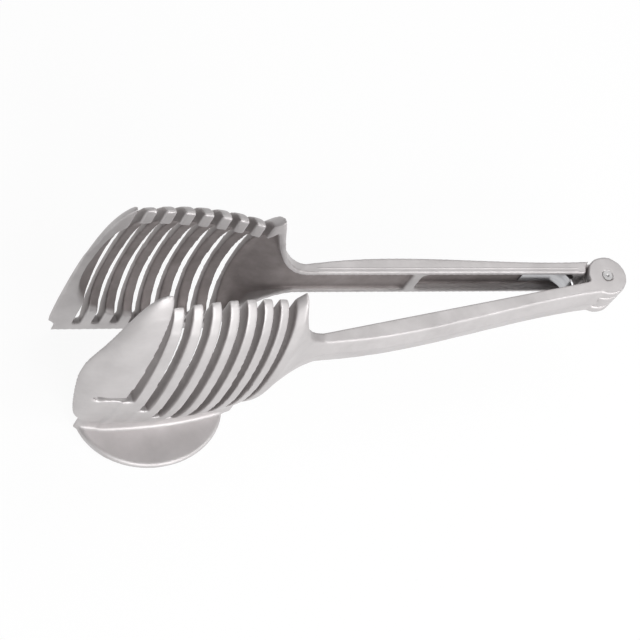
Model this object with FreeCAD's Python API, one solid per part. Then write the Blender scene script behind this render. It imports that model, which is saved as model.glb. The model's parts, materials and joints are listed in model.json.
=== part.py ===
import FreeCAD, Part
import math
import os
from collections import namedtuple

# Slicing tongs: two slotted half-cups on hollow arms, hinged at the far end and held open by a leaf spring.
# Millimetres. +X runs from the cups to the hinge, +Y from the front half to the rear half, +Z up the hinge
# axis. The sole of the foot lies at z = 0 with its middle at the origin. The front half stands along X with
# its mating face in the plane y = 0. The rear half is its mirror image swung open about the hinge, but with
# a shorter tip and without the foot.

# Whole tool
FIRST_SLOT_X = -21.5      # near side of the first slot, from the middle of the foot
HINGE_X = 179.7           # hinge axis, from the middle of the foot
OPEN_ANGLE = 10.3         # swing of the rear half at rest, degrees
MATING_SETBACK = 0.2      # cup edges behind the mating plane

# Slots and fins
SLOT_COUNT = 8
SLOT_PITCH = 7.1
SLOT_WIDTH = 3.0
END_WALL = 3.5            # from the last slot to the peak of the end wall

# Cup outline at the first slot, the middle and the last slot, and at the peak of the end wall: depth from the
# mating plane, and heights above the sole
FIRST_DEPTH, FIRST_BELLY, FIRST_FIN_TOP = 8.6, 40.0, 89.0
MIDDLE_DEPTH, MIDDLE_BELLY, MIDDLE_FIN_TOP = 14.0, 36.0, 86.5
END_DEPTH, END_BELLY, LAST_FIN_TOP, PEAK_TOP = 12.5, 36.0, 77.5, 82.0
CUP_LOW = 2.0             # where the outline would run back into the mating plane
FRONT_SHELL = 4.6         # wall of the cup at its belly
REAR_SHELL = 3.0
RIM_TOP = 8.0             # cup edge, measured down from the top
# Lower edge of the hollow at the mating plane, above the sole
FIRST_MOUTH, MIDDLE_MOUTH, END_MOUTH = 17.0, 9.5, 12.0

# Domed tips and their hollows, from the end to the first slot: distance beyond the slot, depth from the
# mating plane, and heights of the upper and the lower edge above the sole
TipStop = namedtuple("TipStop", "beyond depth top low")
FRONT_TIP = [
    TipStop(19.4, 0.8, 55.0, 49.0),
    TipStop(18.3, 2.0, 60.5, 41.5),
    TipStop(15.5, 3.8, 68.5, 28.0),
    TipStop(9.5, 6.6, 91.5, 10.0),
    TipStop(0.0, FIRST_DEPTH, 99.5, CUP_LOW),
]
FRONT_HOLLOW = [
    TipStop(15.0, 1.8, 56.0, 47.0),
    TipStop(11.5, 3.6, 66.0, 33.0),
    TipStop(6.0, 5.0, 80.0, 24.0),
    TipStop(0.0, 5.8, 86.0, 19.5),
]
REAR_TIP = [
    TipStop(10.4, 1.2, 58.0, 8.5),
    TipStop(7.5, 4.4, 71.0, 5.0),
    TipStop(4.2, 6.8, 84.0, 3.0),
    TipStop(0.0, FIRST_DEPTH, 90.5, CUP_LOW),
]
REAR_HOLLOW = [
    TipStop(6.6, 1.8, 52.0, 42.0),
    TipStop(5.0, 3.6, 67.0, 30.0),
    TipStop(2.5, 5.0, 75.0, 23.5),
    TipStop(0.0, 5.8, 78.0, 19.5),
]
# Heights of the slot ends above the sole; the first slots of the front half are closed higher up
FRONT_FLOOR = 8.0
FRONT_SLOT_ENDS = [33.5, 26.0, 18.5, 12.5]
REAR_FLOOR = 4.5
HOOK_LENGTH = 9.0         # first front slot runs on this far into the tip
HOOK_WIDTH = 2.8
HOOK_RADIUS = 2.1         # round hole at its end

# Foot
FOOT_LENGTH = 57.0
FOOT_REACH = 23.0         # outwards from the mating plane
FOOT_THICKNESS = 3.0
FOOT_EDGE = 0.8

# Arms
WAIST_X = 57.0            # the heel has narrowed to the arm here
ARM_TOP = 43.0
ARM_LOW = 27.3
ARM_RIDGE = 36.0          # height of the ridge along the outer side
ARM_SETBACK = 1.0
ARM_BEVEL_TOP = 1.6       # outer side leans in this far from the ridge to the top
ARM_BEVEL_LOW = 1.6
WAIST_DEPTH = 6.4
GRIP_START_X = 80.0
GRIP_DEPTH = 8.5
GRIP_MIDDLE_X = 120.0
GRIP_MIDDLE_DEPTH = 8.2
ARM_WALL = 2.0            # walls round the hollow of the arm
RIB_X = 102.0             # bridge between the two recesses
RIB_WIDTH = 4.0
RECESS_CORNER = 2.5       # rounding of the ends of the spring's recess

# Hinge
KNUCKLE_RADIUS = 8.0
EAR_THICKNESS = 4.0
EAR_GAP = 0.3             # between an ear and the knuckle, up and down
SWING_GAP = 0.6           # between the knuckle and the front arm
COLLAR_GAP = 1.0          # between an ear and the rear arm
PIN_RADIUS = 2.0
PIN_RECESS = 0.1          # pin ends below the ear faces
PIN_DIMPLE = 0.7          # radius and depth of the dimple in the pin's top
EAR_FIT = 0.01
KNUCKLE_FIT = 0.06

# Leaf spring
SPRING_THICKNESS = 0.7
SPRING_HEIGHT = 8.0
SPRING_APEX = 13.6        # outside of the bend, from the hinge axis
SPRING_LEG_X = 148.0      # free end of each leg
SPRING_END_GAP = 0.8      # recess beyond the bend

# Worked-out places
LAST_SLOT_END_X = FIRST_SLOT_X + (SLOT_COUNT - 1) * SLOT_PITCH + SLOT_WIDTH
END_X = LAST_SLOT_END_X + END_WALL
CUP_MIDDLE_X = (FIRST_SLOT_X + LAST_SLOT_END_X) / 2
ARM_MIDDLE_Z = (ARM_TOP + ARM_LOW) / 2
RECESS_DEPTH = GRIP_MIDDLE_DEPTH - ARM_BEVEL_TOP - ARM_WALL
WAIST_RECESS = WAIST_DEPTH - ARM_BEVEL_TOP - ARM_WALL
KNUCKLE_TOP = ARM_TOP - EAR_THICKNESS - EAR_GAP
KNUCKLE_LOW = ARM_LOW + EAR_THICKNESS + EAR_GAP
UP = FreeCAD.Vector(0, 0, 1)
HINGE = FreeCAD.Vector(HINGE_X, 0, 0)
PAST = 1.0                # overshoot of a cutting tool past the face that it opens
FAR = 500.0

# One cross-section of a half: its place, its inner edge, its depth and its heights, and how far it has
# turned from the round cup (0) into the ridged arm (1)
Station = namedtuple("Station", "x setback depth top belly low arm bevel_top bevel_low")

# What differs between the two halves
Jaw = namedtuple("Jaw", "shell tip hollow slot_floor slot_ends")
FRONT = Jaw(FRONT_SHELL, FRONT_TIP, FRONT_HOLLOW, FRONT_FLOOR, FRONT_SLOT_ENDS)
REAR = Jaw(REAR_SHELL, REAR_TIP, REAR_HOLLOW, REAR_FLOOR, [])


def at(x, outward, z):
    """Point on the front half, given its distance outwards from the mating plane."""
    return FreeCAD.Vector(x, -outward, z)


def outline_point(station, turn):
    """Point of a cross-section; turn runs from 0 at the top edge over 0.5 at the belly to 1 at the low edge."""
    angle = math.pi * turn
    rise = station.top - station.belly if turn <= 0.5 else station.belly - station.low
    cup_out = station.setback + (station.depth - station.setback) * math.sin(angle)
    cup_z = station.belly + rise * math.cos(angle)
    corners = [
        (station.setback, station.top),
        (station.depth - station.bevel_top, station.top),
        (station.depth, station.belly),
        (station.depth - station.bevel_low, station.low),
        (station.setback, station.low),
    ]
    side = min(int(turn * 4), 3)
    share = turn * 4 - side
    (out_a, z_a), (out_b, z_b) = corners[side], corners[side + 1]
    arm_out = out_a + share * (out_b - out_a)
    arm_z = z_a + share * (z_b - z_a)
    return at(
        station.x,
        cup_out + station.arm * (arm_out - cup_out),
        cup_z + station.arm * (arm_z - cup_z),
    )


def section(station):
    """Closed wire of one cross-section: four curved sides and the straight inner edge."""
    steps = 4
    nudge = 0.001
    edges = []
    for side in range(4):
        first, last = side / 4, (side + 1) / 4
        points = [outline_point(station, first + (last - first) * i / steps) for i in range(steps + 1)]
        points[-1] = outline_point(station, last)
        curve = Part.BSplineCurve()
        curve.interpolate(
            Points=points,
            InitialTangent=outline_point(station, first + nudge) - points[0],
            FinalTangent=points[-1] - outline_point(station, last - nudge),
        )
        edges.append(curve.toShape())
    edges.append(Part.makeLine(outline_point(station, 1), outline_point(station, 0)))
    return Part.Wire(edges)


def loft(stations):
    """Smooth solid through the given cross-sections."""
    return Part.makeLoft([section(s) for s in stations], True, False)


def slab(x_from, x_to, z_from=-FAR, z_to=FAR):
    """Everything between two X planes and two Z planes."""
    return Part.makeBox(x_to - x_from, 2 * FAR, z_to - z_from, FreeCAD.Vector(x_from, -FAR, z_from))


def post(radius, z_from, z_to):
    """Upright cylinder on the hinge axis."""
    return Part.makeCylinder(radius, z_to - z_from, HINGE + UP * z_from)


def cup_station(x, depth, top, belly):
    """Round cross-section of the cup."""
    return Station(x, MATING_SETBACK, depth, top, belly, CUP_LOW, 0, 0, 0)


def cup_stations():
    """Outside of the cup along the fins."""
    return [
        cup_station(FIRST_SLOT_X, FIRST_DEPTH, FIRST_FIN_TOP, FIRST_BELLY),
        cup_station(CUP_MIDDLE_X, MIDDLE_DEPTH, MIDDLE_FIN_TOP, MIDDLE_BELLY),
        cup_station(LAST_SLOT_END_X, END_DEPTH, LAST_FIN_TOP, END_BELLY),
    ]


def hollow_of(jaw, station, mouth_low):
    """Inside of the cup at one cross-section, opened past the mating plane."""
    return station._replace(
        setback=-PAST,
        depth=station.depth - jaw.shell,
        top=station.top - RIM_TOP,
        low=mouth_low,
    )


def dome(stops, setback):
    """Rounded end of the cup, from the first slot outwards."""
    return loft([
        Station(FIRST_SLOT_X - s.beyond, setback, s.depth, s.top, (s.top + s.low) / 2, s.low, 0, 0, 0)
        for s in stops
    ])


def peak_station():
    """Outside of the end wall at its peak."""
    return cup_station(END_X, END_DEPTH, PEAK_TOP, END_BELLY)


def heel_station(share):
    """Outside of the heel; share runs from 0 at the cup to 1 at the waist of the arm."""
    cup = peak_station()
    flare = (1 - share) ** 2
    return Station(
        x=END_X + share * (WAIST_X - END_X),
        setback=ARM_SETBACK + flare * (cup.setback - ARM_SETBACK),
        depth=WAIST_DEPTH + flare * (cup.depth - WAIST_DEPTH),
        top=ARM_TOP + flare * (cup.top - ARM_TOP),
        belly=ARM_RIDGE + flare * (cup.belly - ARM_RIDGE),
        low=ARM_LOW + flare * (cup.low - ARM_LOW),
        arm=1 - (1 - share) ** 3,
        bevel_top=ARM_BEVEL_TOP,
        bevel_low=ARM_BEVEL_LOW,
    )


def heel_hollow_station(jaw, share):
    """Inside of the heel, a funnel from the cup's hollow to the recess of the arm."""
    cup = hollow_of(jaw, peak_station(), END_MOUTH)
    flare = (1 - share) ** 2
    top = ARM_TOP - ARM_WALL
    low = ARM_LOW + ARM_WALL
    return Station(
        x=END_X + share * (WAIST_X - END_X),
        setback=-PAST,
        depth=WAIST_RECESS + flare * (cup.depth - WAIST_RECESS),
        top=top + flare * (cup.top - top),
        belly=ARM_MIDDLE_Z + flare * (cup.belly - ARM_MIDDLE_Z),
        low=low + flare * (cup.low - low),
        arm=1 - (1 - share) ** 3,
        bevel_top=0,
        bevel_low=0,
    )


HEEL_SHARES = [0, 0.3, 0.65, 1]


def fin_shell(jaw):
    """Wall of the cup from the first slot to the last, before the slots are cut."""
    stations = cup_stations()
    mouths = [FIRST_MOUTH, MIDDLE_MOUTH, END_MOUTH]
    return loft(stations).cut(loft([hollow_of(jaw, s, mouth) for s, mouth in zip(stations, mouths)]))


def fin(jaw, shell, number):
    """One fin, between two slots, standing on the keel."""
    start = FIRST_SLOT_X + (number - 1) * SLOT_PITCH + SLOT_WIDTH
    return shell.common(slab(start, start + SLOT_PITCH - SLOT_WIDTH, jaw.slot_floor))


def tip(jaw):
    """Domed end of the cup, standing on the keel."""
    above_keel = slab(-FAR, FIRST_SLOT_X, jaw.slot_floor)
    return dome(jaw.tip, MATING_SETBACK).cut(dome(jaw.hollow, -PAST)).common(above_keel)


def hook():
    """Cutter that carries the first front slot on into the tip, up to a round hole."""
    end_x = FIRST_SLOT_X - HOOK_LENGTH
    low = FRONT_SLOT_ENDS[0]
    run = slab(end_x, FIRST_SLOT_X + PAST, low, low + HOOK_WIDTH)
    far_end = at(end_x, FAR, low + HOOK_WIDTH / 2)
    hole = Part.makeCylinder(HOOK_RADIUS, 2 * FAR, far_end, FreeCAD.Vector(0, 1, 0))
    return run.fuse(hole)


def heel(jaw):
    """End wall of the cup, which rises to a peak, and the flare that narrows to the arm."""
    wall_ends = [cup_stations()[-1], peak_station()]
    end_wall = loft(wall_ends).cut(loft([hollow_of(jaw, s, END_MOUTH) for s in wall_ends]))
    flare = loft([heel_station(s) for s in HEEL_SHARES])
    funnel = loft([heel_hollow_station(jaw, s) for s in HEEL_SHARES])
    return end_wall.fuse(flare.cut(funnel)).removeSplitter()


def keel(jaw):
    """Strip under the tip and the fins that joins them, down to the sole, with webs in the closed slot ends."""
    outsides = [dome(jaw.tip, MATING_SETBACK), loft(cup_stations())]
    plans = [Part.Face(outside.slice(UP, jaw.slot_floor)[0]) for outside in outsides]
    under_tip, under_fins = [plan.extrude(UP * -jaw.slot_floor) for plan in plans]
    strip = under_tip.fuse(under_fins)
    for number, top in enumerate(jaw.slot_ends):
        start = FIRST_SLOT_X + number * SLOT_PITCH
        strip = strip.fuse(fin_shell(jaw).common(slab(start, start + SLOT_WIDTH, jaw.slot_floor, top)))
    return strip.removeSplitter()


def foot(strip):
    """Keel of the front half with its half-oval foot plate."""
    oval = Part.Ellipse(FreeCAD.Vector(0, 0, 0), FOOT_LENGTH / 2, FOOT_REACH)
    disc = Part.Face(Part.Wire(oval.toShape())).extrude(UP * FOOT_THICKNESS)
    plate = disc.common(Part.makeBox(
        2 * FAR, FAR, FOOT_THICKNESS, FreeCAD.Vector(-FAR, -FAR - MATING_SETBACK, 0)))
    rim = [e for e in plate.Edges if isinstance(e.Curve, Part.Ellipse)]
    return strip.fuse(plate.makeFillet(FOOT_EDGE, rim)).removeSplitter()


def arm_stations():
    """Outside of the arm from the waist to the hinge axis."""
    stops = [
        (WAIST_X, WAIST_DEPTH),
        (GRIP_START_X, GRIP_DEPTH),
        (GRIP_MIDDLE_X, GRIP_MIDDLE_DEPTH),
        (HINGE_X, KNUCKLE_RADIUS),
    ]
    return [
        Station(x, ARM_SETBACK, depth, ARM_TOP, ARM_RIDGE, ARM_LOW, 1, ARM_BEVEL_TOP, ARM_BEVEL_LOW)
        for x, depth in stops
    ]


def recess(x_from, x_to, depth):
    """Hollow in the inner side of the arm."""
    low = ARM_LOW + ARM_WALL
    tall = ARM_TOP - ARM_LOW - 2 * ARM_WALL
    return Part.makeBox(x_to - x_from, depth + PAST, tall, at(x_from, depth, low))


def arm_body():
    """Hollow arm with its two recesses and the bridge between them."""
    cup_side = recess(WAIST_X - PAST, RIB_X - RIB_WIDTH / 2, WAIST_RECESS)
    spring_side = recess(RIB_X + RIB_WIDTH / 2, HINGE_X - SPRING_APEX + SPRING_END_GAP, RECESS_DEPTH)
    ends = [e for e in spring_side.Edges if e.BoundBox.YLength > PAST]
    return loft(arm_stations()).cut(cup_side).cut(spring_side.makeFillet(RECESS_CORNER, ends))


def front_arm():
    """Front arm with the two ears that hold the pin."""
    body = arm_body().fuse(post(KNUCKLE_RADIUS, ARM_LOW, ARM_TOP)).removeSplitter()
    gap = post(KNUCKLE_RADIUS + SWING_GAP, ARM_LOW + EAR_THICKNESS, ARM_TOP - EAR_THICKNESS)
    return body.cut(gap).cut(post(PIN_RADIUS + EAR_FIT, ARM_LOW, ARM_TOP))


def rear_arm():
    """Rear arm, still in the place of the front one, with the knuckle that turns between the ears."""
    collar = KNUCKLE_RADIUS + COLLAR_GAP
    body = arm_body().cut(post(collar, KNUCKLE_TOP, ARM_TOP)).cut(post(collar, ARM_LOW, KNUCKLE_LOW))
    body = body.fuse(post(KNUCKLE_RADIUS, KNUCKLE_LOW, KNUCKLE_TOP)).removeSplitter()
    return body.cut(post(PIN_RADIUS + KNUCKLE_FIT, ARM_LOW, ARM_TOP))


def hinge_pin():
    pin_top = ARM_TOP - PIN_RECESS
    pin = post(PIN_RADIUS, ARM_LOW + PIN_RECESS, pin_top)
    dimple = Part.makeCone(0, PIN_DIMPLE, PIN_DIMPLE, HINGE + UP * (pin_top - PIN_DIMPLE))
    return pin.cut(dimple)


def leaf_spring():
    """U-shaped strip: a leg on the floor of each arm's recess and a bend in front of the knuckle."""
    half_open = math.radians(OPEN_ANGLE / 2)
    leg = RECESS_DEPTH - SPRING_THICKNESS / 2
    # Bend that touches both legs, with its outside SPRING_APEX from the hinge axis
    centre = (SPRING_APEX + SPRING_THICKNESS / 2 + leg) / (1 - math.sin(half_open))
    bend = leg + centre * math.sin(half_open)
    apex_x = HINGE_X - centre + bend
    tangent_x = HINGE_X - centre + bend * math.sin(half_open)
    tangent_y = bend * math.cos(half_open)
    leg_run = HINGE_X - SPRING_LEG_X - (HINGE_X - tangent_x)
    end_x = tangent_x - leg_run * math.cos(half_open)
    end_y = tangent_y + leg_run * math.sin(half_open)
    path = Part.Wire([
        Part.makeLine(FreeCAD.Vector(end_x, -end_y, 0), FreeCAD.Vector(tangent_x, -tangent_y, 0)),
        Part.Arc(
            FreeCAD.Vector(tangent_x, -tangent_y, 0),
            FreeCAD.Vector(apex_x, 0, 0),
            FreeCAD.Vector(tangent_x, tangent_y, 0),
        ).toShape(),
        Part.makeLine(FreeCAD.Vector(tangent_x, tangent_y, 0), FreeCAD.Vector(end_x, end_y, 0)),
    ])
    outer = path.makeOffset2D(SPRING_THICKNESS / 2, openResult=True)
    strip = outer.makeOffset2D(-SPRING_THICKNESS, fill=True, openResult=True)
    spring = strip.extrude(UP * SPRING_HEIGHT)
    spring.translate(UP * (ARM_MIDDLE_Z - SPRING_HEIGHT / 2))
    spring.rotate(HINGE, UP, -OPEN_ANGLE / 2)
    return spring


def to_rear(shape):
    """Mirror a piece of the front half and swing it open about the hinge."""
    mirrored = shape.mirror(FreeCAD.Vector(0, 0, 0), FreeCAD.Vector(0, 1, 0))
    mirrored.rotate(HINGE, UP, -OPEN_ANGLE)
    return mirrored


def cup_pieces(jaw):
    """Tip, fins and heel of one half, in the place of the front half."""
    shell = fin_shell(jaw)
    pieces = {"tip": tip(jaw), "heel": heel(jaw)}
    for number in range(1, SLOT_COUNT):
        pieces[f"fin_{number}"] = fin(jaw, shell, number)
    return pieces


def build():
    nodes = {
        "front_foot": foot(keel(FRONT)),
        "front_arm": front_arm(),
        "rear_keel": to_rear(keel(REAR)),
        "rear_arm": to_rear(rear_arm()),
        "hinge_pin": hinge_pin(),
        "leaf_spring": leaf_spring(),
    }
    for name, piece in cup_pieces(FRONT).items():
        nodes[f"front_{name}"] = piece
    for name, piece in cup_pieces(REAR).items():
        nodes[f"rear_{name}"] = to_rear(piece)
    nodes["front_tip"] = nodes["front_tip"].cut(hook())
    return nodes


os.makedirs("parts", exist_ok=True)
for node, shape in build().items():
    print(node, shape.ShapeType, len(shape.Solids), shape.isValid(), round(shape.Volume, 1))
    shape.exportStep(f"parts/{node}.step")
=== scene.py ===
"""Slicing tongs: two slotted half-cups on hinged arms, dressed as satin cast aluminium."""

import json
import logging
import math
from dataclasses import dataclass, field
from enum import Enum

import bmesh
import bpy
from mathutils import Matrix, Vector


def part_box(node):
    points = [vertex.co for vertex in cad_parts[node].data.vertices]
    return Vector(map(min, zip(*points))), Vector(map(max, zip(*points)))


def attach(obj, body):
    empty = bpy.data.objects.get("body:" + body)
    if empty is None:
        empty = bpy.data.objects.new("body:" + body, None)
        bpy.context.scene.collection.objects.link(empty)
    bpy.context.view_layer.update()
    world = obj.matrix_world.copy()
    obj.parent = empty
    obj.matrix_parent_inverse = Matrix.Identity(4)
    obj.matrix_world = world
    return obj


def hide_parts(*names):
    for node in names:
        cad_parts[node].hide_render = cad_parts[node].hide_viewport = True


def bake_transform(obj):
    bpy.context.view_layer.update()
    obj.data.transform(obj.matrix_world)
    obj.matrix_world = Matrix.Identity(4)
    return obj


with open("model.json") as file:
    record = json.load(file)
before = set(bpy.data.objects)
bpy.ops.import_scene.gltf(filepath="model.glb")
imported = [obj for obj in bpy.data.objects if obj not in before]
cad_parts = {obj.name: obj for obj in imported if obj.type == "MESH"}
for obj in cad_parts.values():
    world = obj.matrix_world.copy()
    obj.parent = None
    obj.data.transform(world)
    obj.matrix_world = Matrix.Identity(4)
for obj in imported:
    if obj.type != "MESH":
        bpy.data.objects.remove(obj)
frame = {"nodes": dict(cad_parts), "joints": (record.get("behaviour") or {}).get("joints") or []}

LOG = logging.getLogger("slicing_tongs")
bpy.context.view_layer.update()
MM = 0.001
# Vertices that are nearer to each other than this are one
WELD_M = 1e-6
# A vertex that is nearer to a plane than this lies on it
ON_PLANE_M = 2e-5
# The tool's only joint, and the turn from the open rest position to closed cups
JOINT = frame["joints"][0]
HINGE = Vector(JOINT["pos_m"])
SWING = math.radians(max(JOINT["range_deg"]))
# Where the cups' heels run into the arms, with the cups closed
WAIST_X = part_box("front_arm")[0][0]


class Body(str, Enum):
    """The two rigid halves of the tool."""

    FRONT = "front_half"
    REAR = "rear_half"


class Slot(str, Enum):
    """Material slots of the record."""

    ALUMINIUM = "cast_aluminium"
    SPRING = "spring_steel"


def linear(code: str) -> tuple[float, float, float, float]:
    """Turn an sRGB hex colour into linear light.

    Args:
        code: six hex digits with a leading hash.

    Returns:
        Linear red, green, blue and an alpha of one.
    """
    parts = [int(code[i:i + 2], 16) / 255 for i in (1, 3, 5)]
    lit = [p / 12.92 if p <= 0.04045 else ((p + 0.055) / 1.055) ** 2.4 for p in parts]
    return (lit[0], lit[1], lit[2], 1.0)


def add_node(
    tree: bpy.types.NodeTree, kind: str, inputs: dict | None = None, **settings: object,
) -> bpy.types.Node:
    """Add one node, set its properties and fill or link its inputs.

    Args:
        tree: the node tree that takes the node.
        kind: Blender's name for the node type.
        inputs: socket name or number to a value, or to another node's output socket.
        settings: properties of the node itself.

    Returns:
        The new node.
    """
    node = tree.nodes.new(kind)
    for name, value in settings.items():
        setattr(node, name, value)
    for key, value in (inputs or {}).items():
        if isinstance(value, bpy.types.NodeSocket):
            tree.links.new(value, node.inputs[key])
        else:
            node.inputs[key].default_value = value
    return node


def empty_material(name: str) -> tuple[bpy.types.Material, bpy.types.NodeTree]:
    """Make a material with an empty node tree.

    Args:
        name: the material's name.

    Returns:
        The material and its tree.
    """
    material = bpy.data.materials.new(name)
    material.use_nodes = True
    material.node_tree.nodes.clear()
    return material, material.node_tree


def set_ramp(node: bpy.types.Node, stops: tuple[tuple[float, str], ...]) -> bpy.types.Node:
    """Give a colour ramp its stops.

    Args:
        node: the colour ramp.
        stops: position and hex colour of each stop, in order; at least two.

    Returns:
        The same node.
    """
    elements = node.color_ramp.elements
    while len(elements) < len(stops):
        elements.new(0.5)
    for element, (position, code) in zip(elements, stops):
        element.position = position
        element.color = linear(code)
    return node


def add_object(name: str, data: bpy.types.ID) -> bpy.types.Object:
    """Put a new object into the scene.

    Args:
        name: the object's name.
        data: its mesh, lamp or camera.

    Returns:
        The new object.
    """
    thing = bpy.data.objects.new(name, data)
    bpy.context.scene.collection.objects.link(thing)
    return thing


def welded_copy(node: str) -> bmesh.types.BMesh:
    """Copy a CAD solid with its doubled vertices joined.

    Args:
        node: the solid's name.

    Returns:
        The copy.
    """
    copy = bmesh.new()
    copy.from_mesh(frame["nodes"][node].data)
    bmesh.ops.remove_doubles(copy, verts=copy.verts, dist=WELD_M)
    return copy


def to_mesh(shape: bmesh.types.BMesh, name: str) -> bpy.types.Mesh:
    """Turn a working shape into a mesh and free the shape.

    Args:
        shape: the working shape.
        name: the mesh's name.

    Returns:
        The new mesh.
    """
    mesh = bpy.data.meshes.new(name)
    shape.to_mesh(mesh)
    shape.free()
    return mesh


def start_tree(name: str, inputs: dict[str, str]) -> tuple[bpy.types.NodeTree, bpy.types.Node]:
    """Start a geometry node tree.

    Args:
        name: the tree's name.
        inputs: name and socket type of each input, besides Geometry and Finish.

    Returns:
        The tree and its group input node.
    """
    tree = bpy.data.node_groups.new(name, "GeometryNodeTree")
    for label, kind in {"Geometry": "Geometry", **inputs, "Finish": "Material"}.items():
        tree.interface.new_socket(label, in_out="INPUT", socket_type=f"NodeSocket{kind}")
    tree.interface.new_socket("Geometry", in_out="OUTPUT", socket_type="NodeSocketGeometry")
    return tree, add_node(tree, "NodeGroupInput")


def end_tree(tree: bpy.types.NodeTree, given: bpy.types.Node, shape: bpy.types.NodeSocket) -> None:
    """End a geometry node tree: realize its instances, dress them and hand them out.

    Args:
        tree: the tree.
        given: its group input node.
        shape: the socket that carries what the tree has made.
    """
    whole = add_node(tree, "GeometryNodeRealizeInstances", {"Geometry": shape})
    dressed = add_node(tree, "GeometryNodeSetMaterial", {
        "Geometry": whole.outputs["Geometry"], "Material": given.outputs["Finish"]})
    add_node(tree, "NodeGroupOutput", {"Geometry": dressed.outputs["Geometry"]})


def run_tree(
    source: bpy.types.Object, tree: bpy.types.NodeTree, inputs: dict[str, object], name: str,
) -> bpy.types.Object:
    """Run a geometry node tree on a scratch object and keep the result as a plain piece.

    Args:
        source: the scratch object, which is removed.
        tree: the tree.
        inputs: value of each input, by its name in the tree.
        name: the piece's name.

    Returns:
        The new piece, which has no modifier.
    """
    modifier = source.modifiers.new(tree.name, "NODES")
    modifier.node_group = tree
    sockets = [item for item in tree.interface.items_tree if item.in_out == "INPUT"]
    identifiers = {socket.name: socket.identifier for socket in sockets}
    for label, value in inputs.items():
        modifier[identifiers[label]] = value
    seen = source.evaluated_get(bpy.context.evaluated_depsgraph_get())
    mesh = bpy.data.meshes.new_from_object(seen)
    mesh.name = name
    bpy.data.objects.remove(source)
    return add_object(name, mesh)


@dataclass(frozen=True)
class Sums:
    """Adds sums to one shader node tree."""

    tree: bpy.types.NodeTree

    def vector(self, kind: str, socket: bpy.types.NodeSocket, other: Vector) -> bpy.types.Node:
        """Join a vector socket and a fixed vector by one operation."""
        return add_node(self.tree, "ShaderNodeVectorMath", {0: socket, 1: other}, operation=kind)

    def along(self, socket: bpy.types.NodeSocket, way: Vector) -> bpy.types.NodeSocket:
        """Measure a vector along a direction."""
        return self.vector("DOT_PRODUCT", socket, way).outputs["Value"]

    def size(self, socket: bpy.types.NodeSocket) -> bpy.types.NodeSocket:
        """Drop a number's sign."""
        return add_node(self.tree, "ShaderNodeMath", {0: socket}, operation="ABSOLUTE").outputs[0]

    def rise(self, socket: bpy.types.NodeSocket, low: float, high: float) -> bpy.types.NodeSocket:
        """Rise smoothly from zero to one.

        Args:
            socket: the number that is looked at.
            low: its value at zero.
            high: its value at one, above or below the first.

        Returns:
            The socket of the result.
        """
        limits = {"Value": socket, "From Min": low, "From Max": high}
        node = add_node(self.tree, "ShaderNodeMapRange", limits, interpolation_type="SMOOTHSTEP")
        return node.outputs["Result"]

    def join(self, kind: str, *terms: bpy.types.NodeSocket | float) -> bpy.types.NodeSocket:
        """Join numbers by one operation, from left to right.

        Args:
            kind: Blender's name for the operation.
            terms: the numbers, of which the first is a socket.

        Returns:
            The socket of the result.
        """
        joined = terms[0]
        for term in terms[1:]:
            joined = add_node(self.tree, "ShaderNodeMath", {0: joined, 1: term}, operation=kind).outputs[0]
        return joined


@dataclass(frozen=True)
class Surface:
    """Sockets that carry a bare metal's colour, roughness and fine bump."""

    colour: bpy.types.NodeSocket
    rough: bpy.types.NodeSocket
    bump: bpy.types.NodeSocket

    def close(self, tree: bpy.types.NodeTree) -> None:
        """End a material's node tree in this surface.

        Args:
            tree: the material's node tree.
        """
        shader = add_node(tree, "ShaderNodeBsdfPrincipled", {
            "Base Color": self.colour, "Metallic": 1.0, "Roughness": self.rough, "Normal": self.bump})
        add_node(tree, "ShaderNodeOutputMaterial", {"Surface": shader.outputs["BSDF"]})


@dataclass(frozen=True)
class SatinMetal:
    """A bare metal with a fine, even satin surface.

    The surface is mottled: soft cloudy patches from handling, and a fine grit from tumbling or rolling.
    """

    name: str
    dark: str
    light: str
    roughness_low: float
    roughness_high: float
    cloud_mm: float
    grit_mm: float
    grit_height_mm: float
    streak: tuple[float, float, float] = (1.0, 1.0, 1.0)
    cloud_detail: float = 4.0
    cloud_contrast: float = 0.6
    cloud_low: float = 0.3
    cloud_high: float = 0.7
    grit_detail: float = 2.0
    grit_contrast: float = 0.5
    grit_strength: float = 0.5

    def surface(self, tree: bpy.types.NodeTree, place: bpy.types.NodeSocket) -> Surface:
        """Add the metal's pattern to a node tree.

        Args:
            tree: the material's node tree.
            place: Object coordinates in metres.

        Returns:
            The sockets of its colour, roughness and fine bump.
        """
        turned = add_node(tree, "ShaderNodeMapping", {"Vector": place, "Scale": self.streak})
        cloud = add_node(tree, "ShaderNodeTexNoise", {
            "Vector": turned.outputs[0], "Scale": 1 / (self.cloud_mm * MM),
            "Detail": self.cloud_detail, "Roughness": self.cloud_contrast})
        grit = add_node(tree, "ShaderNodeTexNoise", {
            "Vector": turned.outputs[0], "Scale": 1 / (self.grit_mm * MM),
            "Detail": self.grit_detail, "Roughness": self.grit_contrast})
        colour = set_ramp(
            add_node(tree, "ShaderNodeValToRGB", {"Fac": cloud.outputs["Fac"]}),
            ((self.cloud_low, self.dark), (self.cloud_high, self.light)))
        rough = add_node(tree, "ShaderNodeMapRange", {
            "Value": cloud.outputs["Fac"], "From Min": self.cloud_low, "From Max": self.cloud_high,
            "To Min": self.roughness_high, "To Max": self.roughness_low})
        bump = add_node(tree, "ShaderNodeBump", {
            "Height": grit.outputs["Fac"], "Strength": self.grit_strength,
            "Distance": self.grit_height_mm * MM})
        return Surface(colour.outputs["Color"], rough.outputs["Result"], bump.outputs["Normal"])

    def build(self) -> bpy.types.Material:
        """Make the material.

        Returns:
            The new material.
        """
        material, tree = empty_material(self.name)
        place = add_node(tree, "ShaderNodeTexCoord").outputs["Object"]
        self.surface(tree, place).close(tree)
        return material


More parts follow.
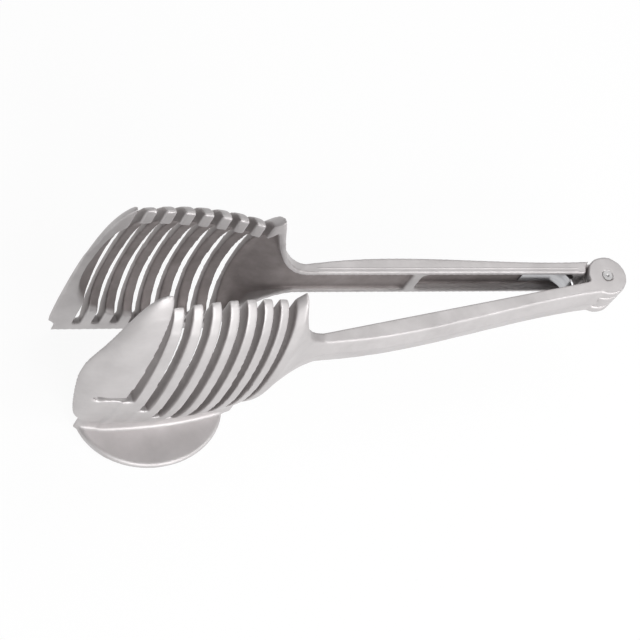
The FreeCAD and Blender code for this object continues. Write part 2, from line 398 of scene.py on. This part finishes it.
@dataclass(frozen=True)
class Lie:
    """How one half lies.

    It has the way its mating face looks, the way its arm runs, and where its slots begin and end that way,
    counted from the hinge.
    """

    mating: Vector
    along: Vector
    slots_from: float
    slots_to: float


@dataclass(frozen=True)
class CastingWithPaintedShade:
    """A satin casting with shade painted into its hollows and slot walls, as a darker, warmer grey.

    A hollow is what looks to the mating face from below it. A slot's wall looks along the arm.
    """

    outside: SatinMetal
    inside: SatinMetal
    hollow_from_mm: float = 0.9
    hollow_full_mm: float = 2.4
    hollow_facing: float = 0.35
    slot_from_mm: float = 0.5
    slot_full_mm: float = 1.5
    slot_facing_from: float = 0.6
    slot_facing_full: float = 0.9
    slot_edge_mm: float = 1.0
    slot_share: float = 0.6

    def painted_shade_mask(
        self, tree: bpy.types.NodeTree, texture: bpy.types.Node, lie: Lie,
    ) -> bpy.types.NodeSocket:
        """Add the mask of the hollows and slot walls where shade is painted.

        Args:
            tree: the material's node tree.
            texture: its texture coordinates.
            lie: how the half lies.

        Returns:
            The mask's socket: one where shade is painted, zero where the metal keeps its plain satin colour.
        """
        sums = Sums(tree)
        facing = texture.outputs["Normal"]
        from_hinge = sums.vector("SUBTRACT", texture.outputs["Object"], HINGE).outputs[0]
        sunk = sums.along(from_hinge, -lie.mating)
        run = sums.along(from_hinge, lie.along)
        hollow = sums.join(
            "MULTIPLY",
            sums.rise(sunk, self.hollow_from_mm * MM, self.hollow_full_mm * MM),
            sums.rise(sums.along(facing, lie.mating), 0.0, self.hollow_facing))
        edge = self.slot_edge_mm * MM
        slots = sums.join(
            "MULTIPLY",
            sums.rise(sums.size(sums.along(facing, lie.along)), self.slot_facing_from, self.slot_facing_full),
            sums.rise(sunk, self.slot_from_mm * MM, self.slot_full_mm * MM),
            sums.rise(run, lie.slots_from - edge, lie.slots_from),
            sums.rise(run, lie.slots_to + edge, lie.slots_to),
            self.slot_share)
        return sums.join("MAXIMUM", hollow, slots)

    def build(self, name: str, lie: Lie) -> bpy.types.Material:
        """Make the material for one half.

        Args:
            name: the material's name.
            lie: how the half lies.

        Returns:
            The new material.
        """
        material, tree = empty_material(name)
        texture = add_node(tree, "ShaderNodeTexCoord")
        place = texture.outputs["Object"]
        # One where shade is painted into the hollows and slot walls
        mask = self.painted_shade_mask(tree, texture, lie)
        plain_surface = self.outside.surface(tree, place)
        # Painted shade: the darker, warmer grey that the mask lays on hollows and slot walls
        shade_surface = self.inside.surface(tree, place)
        # A Mix node has its share as input 0, numbers as inputs 2 and 3, and colours as inputs 6 and 7
        colour = add_node(
            tree, "ShaderNodeMix", {0: mask, 6: plain_surface.colour, 7: shade_surface.colour}, data_type="RGBA")
        rough = add_node(tree, "ShaderNodeMix", {0: mask, 2: plain_surface.rough, 3: shade_surface.rough})
        Surface(colour.outputs[2], rough.outputs[0], plain_surface.bump).close(tree)
        return material


# Cast aluminium, tumbled to an even satin: a pale neutral grey with soft, wide highlights
CAST_ALUMINIUM = SatinMetal(
    "satin_cast_aluminium", "#BFBCBC", "#CCC9C9", roughness_low=0.58, roughness_high=0.66,
    cloud_mm=14.0, grit_mm=0.7, grit_height_mm=0.012)
# Painted shade for the hollows and slot walls: the same metal drawn darker and warmer, and a little rougher
PAINTED_SHADE_ALUMINIUM = SatinMetal(
    "painted_shade_aluminium", "#8C8584", "#9C9594", roughness_low=0.60, roughness_high=0.70,
    cloud_mm=9.0, grit_mm=0.9, grit_height_mm=0.02)
# Turned mild steel: close to the casting in tone and nearly as matt, with a finer grit
TURNED_STEEL = SatinMetal(
    "turned_pin_steel", "#BEBDBD", "#CBCACA", roughness_low=0.56, roughness_high=0.64,
    cloud_mm=3.0, grit_mm=0.4, grit_height_mm=0.008)
# Cold-rolled spring strip: smooth, with faint streaks along its length
ROLLED_SPRING = SatinMetal(
    "rolled_spring_steel", "#B0B0B3", "#C6C6C8", roughness_low=0.18, roughness_high=0.26,
    cloud_mm=4.0, grit_mm=0.5, grit_height_mm=0.006, streak=(0.15, 0.15, 1.0))


def rounding_tree() -> bpy.types.NodeTree:
    """Make the node tree that rounds every edge of a fine mesh as a casting's edges are rounded.

    Returns:
        A geometry node group with inputs Geometry, Passes and Finish.
    """
    tree, given = start_tree("rounded_casting", {"Passes": "Int"})
    place = add_node(tree, "GeometryNodeInputPosition")
    blurred = add_node(
        tree, "GeometryNodeBlurAttribute", {"Iterations": given.outputs["Passes"]}, data_type="FLOAT_VECTOR")
    value = next(s for s in blurred.inputs if s.name == "Value" and s.enabled)
    tree.links.new(place.outputs["Position"], value)
    soft = next(s for s in blurred.outputs if s.enabled)
    moved = add_node(tree, "GeometryNodeSetPosition", {
        "Geometry": given.outputs["Geometry"], "Position": soft})
    smooth = add_node(tree, "GeometryNodeSetShadeSmooth", {"Geometry": moved.outputs["Geometry"]})
    end_tree(tree, given, smooth.outputs["Geometry"])
    return tree


def beads_tree() -> bpy.types.NodeTree:
    """Make the node tree that lays parallel round beads side by side.

    Returns:
        A geometry node group with inputs First, Step, Count, Run, Radius, Sides and Finish.
    """
    tree, given = start_tree("parallel_beads", {
        "First": "Vector", "Step": "Vector", "Count": "Int",
        "Run": "Vector", "Radius": "Float", "Sides": "Int"})
    starts = add_node(tree, "GeometryNodeMeshLine", {
        "Count": given.outputs["Count"], "Start Location": given.outputs["First"],
        "Offset": given.outputs["Step"]})
    line = add_node(tree, "GeometryNodeCurvePrimitiveLine", {"End": given.outputs["Run"]})
    ring = add_node(tree, "GeometryNodeCurvePrimitiveCircle", {
        "Resolution": given.outputs["Sides"], "Radius": given.outputs["Radius"]})
    bead = add_node(tree, "GeometryNodeCurveToMesh", {
        "Curve": line.outputs["Curve"], "Profile Curve": ring.outputs["Curve"], "Fill Caps": True})
    laid = add_node(tree, "GeometryNodeInstanceOnPoints", {
        "Points": starts.outputs["Mesh"], "Instance": bead.outputs["Mesh"]})
    end_tree(tree, given, laid.outputs["Instances"])
    return tree


def pull_plane(part: bmesh.types.BMesh, axis: int, level: float, by: float) -> None:
    """Move the vertices that lie on one plane.

    Args:
        part: the shape.
        axis: number of the plane's axis.
        level: where the plane crosses that axis.
        by: how far the vertices move along it.
    """
    for vert in part.verts:
        if abs(vert.co[axis] - level) < ON_PLANE_M:
            vert.co[axis] += by


@dataclass
class Casting:
    """One visible stretch of a cast half: split CAD solids, cast here as one skin with rounded edges.

    The solids of a cup are a base and what stands on it, and those of a handle are a heel and an arm.
    """

    name: str
    body: Body
    nodes: list[str]
    voxel_mm: float
    passes: int
    swing: float
    base: str = ""
    standing: list[str] = field(default_factory=list)
    standing_z: float = 0.0
    arm: str = ""
    overlap_mm: float = 1.2
    web_rise_mm: float = 0.1

    def stretch_webs(self, part: bmesh.types.BMesh) -> None:
        """Run the webs in the closed slot ends into the fins on both sides.

        Args:
            part: the base, with the cups closed.
        """
        spans = [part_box(node) for node in self.standing]
        starts = [low[0] for low, _ in spans]
        ends = [high[0] for _, high in spans]
        for vert in part.verts:
            if vert.co.z < self.standing_z + self.web_rise_mm * MM:
                continue
            if any(abs(vert.co.x - x) < ON_PLANE_M for x in starts):
                vert.co.x += self.overlap_mm * MM
            elif any(abs(vert.co.x - x) < ON_PLANE_M for x in ends):
                vert.co.x -= self.overlap_mm * MM

    def solids(self) -> bpy.types.Object:
        """Join copies of the CAD solids, each run a little into its neighbour.

        Returns:
            A scratch object that holds the overlapping solids.
        """
        whole = bmesh.new()
        closed = Matrix.Translation(HINGE) @ Matrix.Rotation(self.swing, 4, "Z") @ Matrix.Translation(-HINGE)
        for node in self.nodes:
            part = welded_copy(node)
            part.transform(closed)
            if node == self.base:
                self.stretch_webs(part)
            elif node in self.standing:
                pull_plane(part, 2, self.standing_z, -self.overlap_mm * MM)
            elif node == self.arm:
                pull_plane(part, 0, WAIST_X, -self.overlap_mm * MM)
            part.transform(closed.inverted())
            scratch = to_mesh(part, "scratch")
            whole.from_mesh(scratch)
            bpy.data.meshes.remove(scratch)
        scratch_name = f"{self.name}_solids"
        return add_object(scratch_name, to_mesh(whole, scratch_name))

    def build(self, tree: bpy.types.NodeTree, finish: bpy.types.Material) -> bpy.types.Object:
        """Cast the skin and put it on its body.

        Args:
            tree: the rounding node tree.
            finish: the casting's material.

        Returns:
            The finished piece.
        """
        solids = self.solids()
        skin = solids.modifiers.new("skin", "REMESH")
        skin.mode = "VOXEL"
        skin.voxel_size = self.voxel_mm * MM
        piece = run_tree(solids, tree, {"Passes": self.passes, "Finish": finish}, self.name)
        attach(piece, self.body.value)
        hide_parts(*self.nodes)
        LOG.info("%s: %d faces on %s", self.name, len(piece.data.polygons), self.body.value)
        return piece


@dataclass
class Halves:
    """The two cast halves of the tool, each as a slotted cup and a handle."""

    fins: int = 7
    voxel_mm: float = 0.5
    passes: int = 3

    def half(
        self, side: str, body: Body, base: str, swing: float, metal: bpy.types.Material,
        tree: bpy.types.NodeTree,
    ) -> None:
        """Cast the cup and the handle of one half.

        Args:
            side: the word that its nodes' names start with.
            body: the half's rigid body.
            base: the node that its fins stand on.
            swing: the turn that takes it from rest to closed cups.
            metal: its material.
            tree: the rounding node tree.
        """
        standing = [f"{side}_tip"] + [f"{side}_fin_{i}" for i in range(1, self.fins + 1)]
        cup = Casting(
            f"{side}_cup", body, [base] + standing, self.voxel_mm, self.passes, swing,
            base=base, standing=standing, standing_z=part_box(f"{side}_fin_1")[0][2])
        arm = f"{side}_arm"
        handle = Casting(
            f"{side}_handle", body, [f"{side}_heel", arm], self.voxel_mm, self.passes, swing, arm=arm)
        cup.build(tree, metal)
        handle.build(tree, metal)

    def build(self, finish: CastingWithPaintedShade) -> None:
        """Cast both halves.

        Args:
            finish: the finish of both castings, with shade painted into their hollows and slot walls.
        """
        tree = rounding_tree()
        slots = (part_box("front_tip")[1][0] - HINGE.x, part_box("front_heel")[0][0] - HINGE.x)
        for side, body, base, swing, mating_y in (
            ("front", Body.FRONT, "front_foot", 0.0, 1.0),
            ("rear", Body.REAR, "rear_keel", SWING, -1.0),
        ):
            opened = Matrix.Rotation(-swing, 3, "Z")
            lie = Lie(opened @ Vector((0.0, mating_y, 0.0)), opened @ Vector((1.0, 0.0, 0.0)), *slots)
            self.half(side, body, base, swing, finish.build(f"cast_aluminium_{side}", lie), tree)


@dataclass
class TopBeads:
    """Fine parallel beads along the top of the rear arm, beside its inner edge."""

    name: str = "top_beads"
    count: int = 2
    sides: int = 12
    radius_mm: float = 0.3
    inset_mm: float = 1.7
    pitch_mm: float = 1.4
    proud_mm: float = 0.12
    from_waist_mm: float = 4.0
    to_hinge_mm: float = 12.0

    def build(self, finish: bpy.types.Material) -> bpy.types.Object:
        """Lay the beads and put them on the rear half.

        Args:
            finish: the casting's material.

        Returns:
            The finished piece.
        """
        opened = Matrix.Rotation(-SWING, 3, "Z")
        along = opened @ Vector((1.0, 0.0, 0.0))
        outward = opened @ Vector((0.0, 1.0, 0.0))
        start_x = WAIST_X + self.from_waist_mm * MM
        end_x = HINGE.x - self.to_hinge_mm * MM
        first = HINGE + along * (start_x - HINGE.x) + outward * self.inset_mm * MM
        first.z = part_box("rear_arm")[1][2] + (self.proud_mm - self.radius_mm) * MM
        piece = run_tree(add_object("bead_seed", bpy.data.meshes.new("bead_seed")), beads_tree(), {
            "First": first, "Step": outward * self.pitch_mm * MM, "Count": self.count,
            "Run": along * (end_x - start_x), "Radius": self.radius_mm * MM, "Sides": self.sides,
            "Finish": finish}, self.name)
        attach(piece, Body.REAR.value)
        LOG.info("%s: %d faces on %s", self.name, len(piece.data.polygons), Body.REAR.value)
        return piece


@dataclass
class LeafSpring:
    """U-shaped spring strip whose legs lie in the two arms."""

    name: str = "spring_strip"
    node: str = "leaf_spring"
    front_y_mm: float = -3.0
    rear_y_mm: float = 6.0
    crease_deg: float = 35.0

    def build(self, finish: bpy.types.Material) -> bpy.types.Object:
        """Copy the strip, shade its bend smooth and leave it on neither half.

        Args:
            finish: the strip's material.

        Returns:
            The finished piece.
        """
        mesh = to_mesh(welded_copy(self.node), self.name)
        mesh.materials.append(finish)
        for polygon in mesh.polygons:
            polygon.use_smooth = True
        mesh.set_sharp_from_angle(angle=math.radians(self.crease_deg))
        piece = add_object(self.name, mesh)
        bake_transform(piece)
        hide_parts(self.node)
        LOG.info("%s: %d faces between the halves", self.name, len(mesh.polygons))
        return piece


@dataclass
class HingePin:
    """Steel pin in the ears of the front arm."""

    node: str = "hinge_pin"

    def dress(self, finish: bpy.types.Material) -> None:
        """Give the CAD pin its finish.

        Args:
            finish: the pin's material.
        """
        pin = frame["nodes"][self.node]
        pin.data.materials.clear()
        pin.data.materials.append(finish)
        LOG.info("%s: dressed", self.node)


@dataclass(frozen=True)
class SoftBox:
    """A square lamp with soft light."""

    name: str
    place_m: tuple[float, float, float]
    side_m: float
    watts: float

    def hang(self, aim_m: tuple[float, float, float]) -> None:
        """Add the lamp and turn it to a point.

        Args:
            aim_m: the point that it faces.
        """
        data = bpy.data.lights.new(self.name, "AREA")
        data.size = self.side_m
        data.energy = self.watts
        lamp = add_object(self.name, data)
        lamp.location = self.place_m
        way = Vector(aim_m) - Vector(self.place_m)
        lamp.rotation_euler = way.to_track_quat("-Z", "Y").to_euler()


@dataclass
class Studio:
    """Pale floor, soft light and the camera."""

    azimuth_deg: float = -53.9
    elevation_deg: float = 55.7
    roll_deg: float = 37.7
    focal_px: float = 2500.0
    frame_px: int = 640
    sensor_mm: float = 36.0
    target_mm: tuple[float, float, float] = (56.7, 4.4, 42.6)
    distance_mm: float = 893.9
    clip_end_m: float = 20.0
    floor_half_m: float = 3.0
    floor_drop_mm: float = 0.2
    paper: str = "#F2F2F2"
    white: str = "#FFFFFF"
    white_share: float = 0.93
    sky: tuple[tuple[float, str], ...] = (
        (0.0, "#EBEBEB"), (0.3, "#E2E1E1"), (0.65, "#D2D1D1"), (1.0, "#C4C2C2"))
    sky_strength: float = 0.6
    lamps: tuple[SoftBox, ...] = (
        SoftBox("front_soft_box", (0.0, -0.95, 0.45), 0.7, 9.5),
        SoftBox("side_soft_box", (0.75, -0.6, 0.7), 0.5, 4.0),
        SoftBox("back_soft_box", (0.62, 0.42, 1.0), 0.8, 4.0),
    )
    lamps_aim_m: tuple[float, float, float] = (0.07, 0.0, 0.03)

    def camera(self) -> None:
        """Set up the camera from its angles; roll is clockwise in the picture."""
        azimuth, elevation, roll = (
            math.radians(angle) for angle in (self.azimuth_deg, self.elevation_deg, self.roll_deg))
        flat = math.cos(elevation)
        back = Vector((math.sin(azimuth) * flat, -math.cos(azimuth) * flat, math.sin(elevation)))
        level = Vector((math.cos(azimuth), math.sin(azimuth), 0.0))
        upright = back.cross(level)
        right = level * math.cos(roll) + upright * math.sin(roll)
        up = upright * math.cos(roll) - level * math.sin(roll)
        data = bpy.data.cameras.new("camera")
        data.sensor_width = self.sensor_mm
        data.lens = self.focal_px / self.frame_px * self.sensor_mm
        data.clip_end = self.clip_end_m
        camera = add_object("camera", data)
        turn = Matrix((right, up, back)).transposed().to_4x4()
        place = (Vector(self.target_mm) + back * self.distance_mm) * MM
        camera.matrix_world = Matrix.Translation(place) @ turn
        bpy.context.scene.camera = camera

    def floor(self) -> None:
        """Lay the floor: nearly plain white to the camera and in reflections, with a trace of the shadow."""
        half = self.floor_half_m
        mesh = bpy.data.meshes.new("floor")
        corners = [(-half, -half, 0), (half, -half, 0), (half, half, 0), (-half, half, 0)]
        mesh.from_pydata(corners, [], [(0, 1, 2, 3)])
        floor = add_object("floor", mesh)
        floor.location.z = -self.floor_drop_mm * MM
        material, tree = empty_material("white_paper")
        rays = add_node(tree, "ShaderNodeLightPath").outputs
        sums = Sums(tree)
        seen = sums.join("MAXIMUM", rays["Is Camera Ray"], rays["Is Glossy Ray"], rays["Is Transmission Ray"])
        share = sums.join("MULTIPLY", seen, self.white_share)
        paper = add_node(tree, "ShaderNodeBsdfDiffuse", {"Color": linear(self.paper)})
        glow = add_node(tree, "ShaderNodeEmission", {"Color": linear(self.white), "Strength": 1.0})
        mixed = add_node(tree, "ShaderNodeMixShader", {0: share, 1: paper.outputs[0], 2: glow.outputs[0]})
        add_node(tree, "ShaderNodeOutputMaterial", {"Surface": mixed.outputs[0]})
        mesh.materials.append(material)

    def world(self) -> None:
        """Fill the room with soft light: pale round the horizon, greyer overhead and white to the camera."""
        world = bpy.data.worlds.new("studio")
        bpy.context.scene.world = world
        world.use_nodes = True
        tree = world.node_tree
        tree.nodes.clear()
        place = add_node(tree, "ShaderNodeTexCoord")
        split = add_node(tree, "ShaderNodeSeparateXYZ", {0: place.outputs["Generated"]})
        sky = set_ramp(add_node(tree, "ShaderNodeValToRGB", {"Fac": split.outputs["Z"]}), self.sky)
        path = add_node(tree, "ShaderNodeLightPath")
        room = add_node(tree, "ShaderNodeBackground", {
            "Color": sky.outputs["Color"], "Strength": self.sky_strength})
        white = add_node(tree, "ShaderNodeBackground", {"Color": linear(self.white), "Strength": 1.0})
        mixed = add_node(tree, "ShaderNodeMixShader", {
            0: path.outputs["Is Camera Ray"], 1: room.outputs[0], 2: white.outputs[0]})
        add_node(tree, "ShaderNodeOutputWorld", {"Surface": mixed.outputs[0]})

    def build(self) -> None:
        """Set up the whole studio."""
        bpy.context.scene.view_settings.view_transform = "Standard"
        self.camera()
        self.floor()
        self.world()
        for lamp in self.lamps:
            lamp.hang(self.lamps_aim_m)


def main() -> None:
    """Build every piece in order."""
    logging.basicConfig(level=logging.INFO, format="%(name)s: %(message)s")
    # Both castings get shade painted into their hollows and slot walls
    Halves().build(CastingWithPaintedShade(CAST_ALUMINIUM, PAINTED_SHADE_ALUMINIUM))
    TopBeads().build(CAST_ALUMINIUM.build())
    LeafSpring().build(ROLLED_SPRING.build())
    HingePin().dress(TURNED_STEEL.build())
    Studio().build()


if __name__ == "__main__":
    main()
